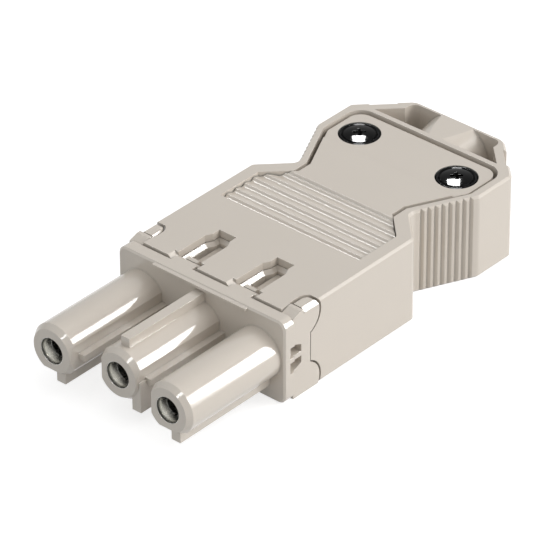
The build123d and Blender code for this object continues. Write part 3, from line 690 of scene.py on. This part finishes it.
Finish = MouldedPlastic | PlatedMetal | BlackEnamel


def new_material(name: str) -> tuple[bpy.types.Material, Board, bpy.types.Node]:
    """Starts a material with a Principled shader on its output.

    Args:
        name: The material's name.

    Returns:
        The material, its board and its Principled node.
    """
    material = bpy.data.materials.new(name)
    material.use_nodes = True
    board = Board(material.node_tree)
    surface = board.add("ShaderNodeBsdfPrincipled")
    output = board.add("ShaderNodeOutputMaterial")
    board.join(surface.outputs["BSDF"], output.inputs["Surface"])
    return material, board, surface


class Palette:
    """Every finish of the connector, made once and handed out by name."""

    LIGHT_GREY: Colour = (0.620, 0.5625, 0.495)

    def __init__(self) -> None:
        """Builds the shader groups and the materials."""
        groups = ShaderGroups()
        tin = (0.78, 0.77, 0.74)
        finishes: list[Finish] = [
            MouldedPlastic("carrier_plastic", self.LIGHT_GREY, roughness=0.10,
                           edge_radius=0.07 * MM, crevice_shade_share=0.35),
            MouldedPlastic("housing_plastic", self.LIGHT_GREY, roughness=0.18,
                           edge_radius=0.12 * MM),
            # The flap's painted shade is stronger, to draw dark lines at its step and between its
            # flutes.
            MouldedPlastic("flap_plastic", self.LIGHT_GREY, roughness=0.18,
                           edge_radius=0.10 * MM, crevice_shade_reach=0.3 * MM, crevice_shade_share=2.4),
            MouldedPlastic("latch_plastic", self.LIGHT_GREY),
            MouldedPlastic("saddle_plastic", (0.52, 0.49, 0.44), roughness=0.4),
            PlatedMetal("contact_metal", tin, (0.66, 0.65, 0.61), roughness=0.2),
            PlatedMetal("spring_steel", (0.56, 0.57, 0.59), (0.44, 0.45, 0.47), roughness=0.3),
            PlatedMetal("cage_brass", (0.72, 0.68, 0.56), (0.62, 0.57, 0.44), roughness=0.28),
            PlatedMetal("clamp_screw_steel", (0.62, 0.63, 0.64), (0.50, 0.51, 0.53)),
            PlatedMetal("plate_steel", (0.55, 0.56, 0.58), (0.45, 0.46, 0.48), roughness=0.32),
            PlatedMetal("nut_steel", (0.62, 0.62, 0.60), (0.50, 0.50, 0.49)),
            BlackEnamel("relief_screw_black"),
        ]
        self.materials = {finish.name: finish.make(groups) for finish in finishes}

    def dress(self, piece: bpy.types.Object, finish: str) -> None:
        """Gives a piece one finish all over.

        Args:
            piece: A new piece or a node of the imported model.
            finish: The finish's name.
        """
        material = self.materials[finish]
        if piece.material_slots:
            for slot in piece.material_slots:
                slot.material = material
        else:
            piece.data.materials.append(material)


def show(piece: bpy.types.Object, node: str, body: str, palette: Palette, finish: str) -> None:
    """Lets a new piece stand for a node, and dresses it.

    Args:
        piece: The new piece.
        node: The node that it replaces.
        body: The body that it moves with.
        palette: The finishes.
        finish: The finish's name, which is also the record's material slot.
    """
    palette.dress(piece, finish)
    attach(piece, body)
    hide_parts(node)
    log.info("%s: new piece on %s, for node %s", piece.name, body, node)


def keep(nodes: list[str], palette: Palette, finish: str) -> None:
    """Dresses nodes whose shape is kept.

    Args:
        nodes: Their names.
        palette: The finishes.
        finish: The finish's name.
    """
    for node in nodes:
        palette.dress(frame["nodes"][node], finish)
        log.info("%s: kept, finished in %s", node, finish)


@dataclass
class Shell:
    """The plastic parts: carrier with its noses and latches, housing, flap and saddle."""

    finishes: dict[str, str] = field(default_factory=lambda: {
        "contact_carrier": "carrier_plastic",
        "rear_housing": "housing_plastic",
        "clamp_flap": "flap_plastic",
        "latch_tongue_left": "latch_plastic",
        "latch_tongue_right": "latch_plastic",
        "cable_saddle": "saddle_plastic",
    })

    def build(self, palette: Palette) -> None:
        """Dresses the parts.

        Args:
            palette: The finishes.
        """
        for node, finish in self.finishes.items():
            keep([node], palette, finish)


@dataclass
class ReliefScrew:
    """A black screw of the strain relief, with a domed head, a cross recess and its thread."""

    UPRIGHT: ClassVar[float] = 0.9

    side: Side
    head_height: float = 1.6 * MM
    dome_radius: float = 2.2 * MM
    dome_rise: float = 0.28 * MM
    dome_rings: int = 9
    groove_depth: float = 0.20 * MM
    groove_width: float = 0.12 * MM
    lip_width: float = 0.16 * MM
    rim_round: float = 0.10 * MM
    shank_share: float = 0.52
    cross_reach: float = 1.35 * MM
    cross_width: float = 0.6 * MM
    cross_depth: float = 1.1 * MM
    cross_taper: float = 0.35
    cross_narrowing: float = 0.7
    thread_pitch: float = 0.5 * MM
    thread_depth: float = 0.27 * MM
    thread_inset: float = 0.03 * MM
    thread_start: float = 3.6 * MM
    faces: int = 72

    def _section(self, radius: float, shank: float, high: float) -> Profile:
        """Half section of the head and the plain part of the shank, from the top down.

        Args:
            radius: Radius of the head.
            shank: Radius of the shank.
            high: Height of the node's top.

        Returns:
            Radius and height of each point.
        """
        seat = high - self.head_height
        crown = self.dome_radius
        sphere = (crown ** 2 + self.dome_rise ** 2) / (2 * self.dome_rise)
        steep = math.asin(crown / sphere)
        points = []
        for ring in range(self.dome_rings + 1):
            angle = steep * ring / self.dome_rings
            points.append((sphere * math.sin(angle),
                           high + sphere * (math.cos(angle) - math.cos(steep))))
        lip = radius - self.rim_round - self.lip_width
        points += [(crown + self.groove_width, high - self.groove_depth), (lip, high),
                   (radius - self.rim_round, high), (radius, high - self.rim_round),
                   (radius, seat + self.rim_round), (radius - self.rim_round, seat),
                   (shank, seat), (shank, seat - self.thread_start),
                   (0.0, seat - self.thread_start)]
        return points

    def _cross(self, top: float) -> bpy.types.Object:
        """The tapered cross that is cut into the head.

        Args:
            top: Height of the head's top.

        Returns:
            A closed cutter.
        """
        arms = []
        for turn in range(2):
            Bench.clear()
            bpy.ops.mesh.primitive_cube_add(size=1.0, location=(0, 0, top))
            arm = Bench.named(f"cross_arm_{turn}")
            arm.scale = (2 * self.cross_reach, self.cross_width, 2 * self.cross_depth)
            Bench.bake_place(arm)
            with Bench.editing(arm):
                Bench.pick_faces(arm, lambda face: face.normal.z < -self.UPRIGHT)
                bpy.ops.transform.resize(value=(self.cross_taper, self.cross_narrowing, 1.0))
            arm.rotation_euler.z = QUARTER_TURN / 2 + turn * QUARTER_TURN
            Bench.bake_place(arm)
            arms.append(arm)
        Bench.combine(arms[0], arms[1], "UNION")
        return arms[0]

    def build(self, palette: Palette) -> None:
        """Builds the screw on its node's own axis and sizes.

        Args:
            palette: The finishes.
        """
        node = f"strain_screw_{self.side.value}"
        low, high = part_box(node)
        middle = (low + high) / 2
        radius = (high.x - low.x) / 2
        shank = radius * self.shank_share
        joint = high.z - self.head_height - self.thread_start
        piece = Bench.turn(f"relief_screw_{self.side.value}",
                           self._section(radius, shank, high.z), self.faces)
        thread = Bench.thread("relief_thread", shank - self.thread_depth, shank - self.thread_inset,
                              self.thread_pitch, low.z, joint + self.thread_pitch / 2)
        Bench.combine(piece, thread, "UNION")
        Bench.combine(piece, self._cross(high.z + self.dome_rise), "DIFFERENCE")
        piece.location = (middle.x, middle.y, 0.0)
        Bench.settle(piece)
        show(piece, node, f"relief_screw_{self.side.value}", palette, "relief_screw_black")


@dataclass
class ContactMouth:
    """The thin plated funnel in a nose's hole that leads a pin into its contact; its collar on the
    hole's wall stands in for shade.
    """

    pole: Pole
    entry_depth: float = 1.55 * MM
    step: float = 0.06 * MM
    outer_radius: float = 1.94 * MM
    wall: float = 0.05 * MM
    # The collar lines the hole's plastic wall up to the face: a metal sleeve put there to stand in
    # for the shade on that wall.
    shade_collar: float = 0.80 * MM
    throat: float = 1.5 * MM
    seat_gap: float = 0.04 * MM
    faces: int = 64

    def build(self, palette: Palette) -> None:
        """Builds the funnel in the carrier, in front of the pole's contact.

        Args:
            palette: The finishes.
        """
        low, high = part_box(f"socket_contact_{self.pole.value}")
        front = self.entry_depth - self.step
        shoulder = self.entry_depth - self.shade_collar
        inner = self.outer_radius - self.wall
        section = [(self.outer_radius, self.seat_gap), (self.throat, self.seat_gap),
                   (self.throat, 2 * self.seat_gap), (inner, shoulder), (inner, front),
                   (self.outer_radius, front), (self.outer_radius, self.seat_gap)]
        piece = Bench.turn(f"contact_mouth_{self.pole.value}", section, self.faces)
        piece.rotation_euler.x = QUARTER_TURN
        body_radius = (high.x - low.x) / 2
        piece.location = ((low.x + high.x) / 2, low.y, high.z - body_radius)
        Bench.settle(piece)
        palette.dress(piece, "contact_metal")
        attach(piece, "housing")
        log.info("%s: new piece on housing", piece.name)


@dataclass
class Terminals:
    """Contacts, springs, cages, clamp screws and pressure plates of the three poles."""

    kinds: dict[str, str] = field(default_factory=lambda: {
        "socket_contact": "contact_metal",
        "contact_spring": "spring_steel",
        "terminal_cage": "cage_brass",
        "terminal_screw": "clamp_screw_steel",
        "pressure_plate": "plate_steel",
    })

    def build(self, palette: Palette) -> None:
        """Dresses every terminal.

        Args:
            palette: The finishes.
        """
        for kind, finish in self.kinds.items():
            keep([f"{kind}_{pole.value}" for pole in Pole], palette, finish)


@dataclass
class Nuts:
    """The square nuts that hold the strain relief screws."""

    def build(self, palette: Palette) -> None:
        """Dresses the nuts.

        Args:
            palette: The finishes.
        """
        keep([f"screw_nut_{side.value}" for side in Side], palette, "nut_steel")


@dataclass(frozen=True)
class Softbox:
    """A flat lamp that faces the connector from one direction.

    One that isn't matte shows only in glosses, and one that isn't gloss only lights.
    """

    name: str
    towards: tuple[float, float, float]
    distance: float
    size: tuple[float, float]
    glow: float
    matte: bool = True
    gloss: bool = True
    shines_on: tuple[str, ...] = ()
    tint: Colour = (1.0, 1.0, 1.0)

    def hang(self, centre: Vector) -> None:
        """Adds the lamp.

        Args:
            centre: The point that it faces.
        """
        data = bpy.data.lights.new(self.name, "AREA")
        data.shape = "RECTANGLE"
        width, height = self.size
        data.size, data.size_y = width, height
        # Power of a lamp of this size, so that resizing one keeps its brightness.
        data.energy = self.glow * width * height * math.pi
        data.color = self.tint
        lamp = bpy.data.objects.new(self.name, data)
        bpy.context.scene.collection.objects.link(lamp)
        direction = Vector(self.towards).normalized()
        lamp.rotation_mode = "QUATERNION"
        lamp.matrix_world = (Matrix.Translation(centre + direction * self.distance)
                             @ direction.to_track_quat("Z", "Y").to_matrix().to_4x4())
        lamp.visible_diffuse = self.matte
        lamp.visible_glossy = self.gloss
        if self.shines_on:
            receivers = bpy.data.collections.new(f"{self.name}_shines_on")
            for name in self.shines_on:
                receivers.objects.link(bpy.data.objects[name])
            lamp.light_linking.receiver_collection = receivers


HEADS = tuple(f"relief_screw_{side.value}" for side in Side)
NOSES = ("contact_carrier", *(f"contact_mouth_{pole.value}" for pole in Pole))
REAR = ("rear_housing", "clamp_flap")


@dataclass
class Studio:
    """A plain pale floor, soft lamps and the camera at the photograph's angle."""

    azimuth: float = 41.381
    elevation: float = 33.307
    roll: float = -0.260
    distance: float = 0.60654
    target: tuple[float, float, float] = (-1.5 * MM, -2.362 * MM, 6.5 * MM)
    focal_pixels: float = 4625.5
    picture_pixels: float = 540.0
    sensor: float = 36.0
    clip: tuple[float, float] = (0.05, 20.0)
    floor_size: float = 6.0
    floor_tone: float = 0.55
    floor_glow: float = 0.72
    sky_glow: float = 0.50
    lamps: tuple[Softbox, ...] = (
        Softbox("top_box", (0.10, 0.14, 1.0), 0.45, size=(0.34, 0.34), glow=0.52),
        Softbox("side_box", (0.62, 0.52, 0.60), 0.50, size=(0.26, 0.34), glow=3.5, gloss=False),
        Softbox("right_wall", (1.0, 0.25, 0.22), 0.60, size=(0.60, 0.30), glow=2.5),
        Softbox("front_fill", (-0.16, -1.0, 0.10), 0.60, size=(0.34, 0.30), glow=0.80,
                tint=(0.76, 0.92, 1.0)),
        Softbox("left_fill", (-0.62, -0.40, 0.62), 0.60, size=(0.40, 0.40), glow=0.45,
                tint=(0.94, 0.98, 1.0)),
        Softbox("gloss_side", (0.721, 0.627, 0.294), 0.50, size=(0.11, 0.268), glow=24.0,
                matte=False, shines_on=NOSES),
        Softbox("gloss_pocket", (0.549, 0.627, 0.560), 0.50, size=(0.11, 0.06), glow=20.0,
                matte=False, shines_on=NOSES),
        Softbox("gloss_bevel", (0.31, -0.485, 0.826), 0.50, size=(0.11, 0.11), glow=18.0,
                matte=False, shines_on=NOSES),
        Softbox("gloss_crest", (-0.55, -0.02, 0.83), 0.50, size=(0.14, 0.14), glow=16.0,
                matte=False, shines_on=REAR),
        Softbox("gloss_rim", (0.58, 0.58, 0.58), 0.50, size=(0.10, 0.20), glow=3.0,
                matte=False, shines_on=REAR),
        Softbox("head_glint", (-0.405, 0.488, 0.774), 0.50, size=(0.125, 0.145), glow=260.0,
                matte=False, shines_on=HEADS),
        Softbox("head_rim", (0.42, -0.45, 0.79), 0.50, size=(0.36, 0.36), glow=90.0,
                matte=False, shines_on=HEADS),
    )

    def place_camera(self) -> None:
        """Adds the camera on the line that was fitted to the photograph."""
        azimuth = math.radians(self.azimuth)
        elevation = math.radians(self.elevation)
        away = Vector((math.sin(azimuth) * math.cos(elevation),
                       -math.cos(azimuth) * math.cos(elevation), math.sin(elevation)))
        data = bpy.data.cameras.new("camera")
        data.sensor_fit = "HORIZONTAL"
        data.sensor_width = self.sensor
        data.lens = self.sensor * self.focal_pixels / self.picture_pixels
        data.clip_start, data.clip_end = self.clip
        camera = bpy.data.objects.new("camera", data)
        bpy.context.scene.collection.objects.link(camera)
        turn = Matrix.Rotation(math.radians(self.roll), 4, away)
        look = (-away).to_track_quat("-Z", "Y").to_matrix().to_4x4()
        place = Matrix.Translation(Vector(self.target) + away * self.distance)
        camera.matrix_world = place @ turn @ look
        bpy.context.scene.camera = camera

    @staticmethod
    def _seen_directly(board: Board) -> bpy.types.NodeSocket:
        """Mask of the rays that come from the camera, from a gloss or through glass.

        Args:
            board: The material or world to add to.

        Returns:
            The mask's socket, 1 for such rays.
        """
        path = board.add("ShaderNodeLightPath").outputs
        seen = board.math("MAXIMUM", path["Is Camera Ray"], path["Is Glossy Ray"])
        return board.math("MAXIMUM", seen, path["Is Transmission Ray"])

    def lay_floor(self) -> None:
        """Adds the floor, white to the camera and pale grey to the light that it returns."""
        Bench.clear()
        bpy.ops.mesh.primitive_plane_add(size=self.floor_size)
        floor = Bench.named("floor")
        material = bpy.data.materials.new("floor_white")
        material.use_nodes = True
        board = Board(material.node_tree)
        grey = (self.floor_tone, self.floor_tone, self.floor_tone, 1.0)
        paper = board.add("ShaderNodeBsdfDiffuse", {"Color": grey})
        glow = board.add("ShaderNodeEmission", {"Color": WHITE})
        board.join(board.math("MULTIPLY", self._seen_directly(board), self.floor_glow),
                   glow.inputs["Strength"])
        both = board.add("ShaderNodeAddShader")
        board.join(paper.outputs["BSDF"], both.inputs[0])
        board.join(glow.outputs["Emission"], both.inputs[1])
        output = board.add("ShaderNodeOutputMaterial")
        board.join(both.outputs["Shader"], output.inputs["Surface"])
        floor.data.materials.append(material)

    def light_sky(self) -> None:
        """Sets the world, white to the camera and dimmer as a light."""
        world = bpy.data.worlds.new("studio")
        bpy.context.scene.world = world
        world.use_nodes = True
        board = Board(world.node_tree)
        sky = board.add("ShaderNodeBackground", {"Color": WHITE})
        board.join(board.span(self._seen_directly(board), self.sky_glow, 1.0),
                   sky.inputs["Strength"])
        output = board.add("ShaderNodeOutputWorld")
        board.join(sky.outputs["Background"], output.inputs["Surface"])

    def build(self) -> None:
        """Adds the camera, the floor, the sky and the lamps."""
        self.place_camera()
        self.lay_floor()
        self.light_sky()
        low, high = cad_box
        for lamp in self.lamps:
            lamp.hang((low + high) / 2)
        bpy.context.scene.view_settings.view_transform = "Standard"


def main() -> None:
    """Builds the studio and every sub-assembly, and reports each piece."""
    logging.basicConfig(level=logging.INFO, format="%(name)s: %(message)s")
    palette = Palette()
    Shell().build(palette)
    Terminals().build(palette)
    Nuts().build(palette)
    for pole in Pole:
        ContactMouth(pole).build(palette)
    for side in Side:
        ReliefScrew(side).build(palette)
    Studio().build()


if __name__ == "__main__":
    main()
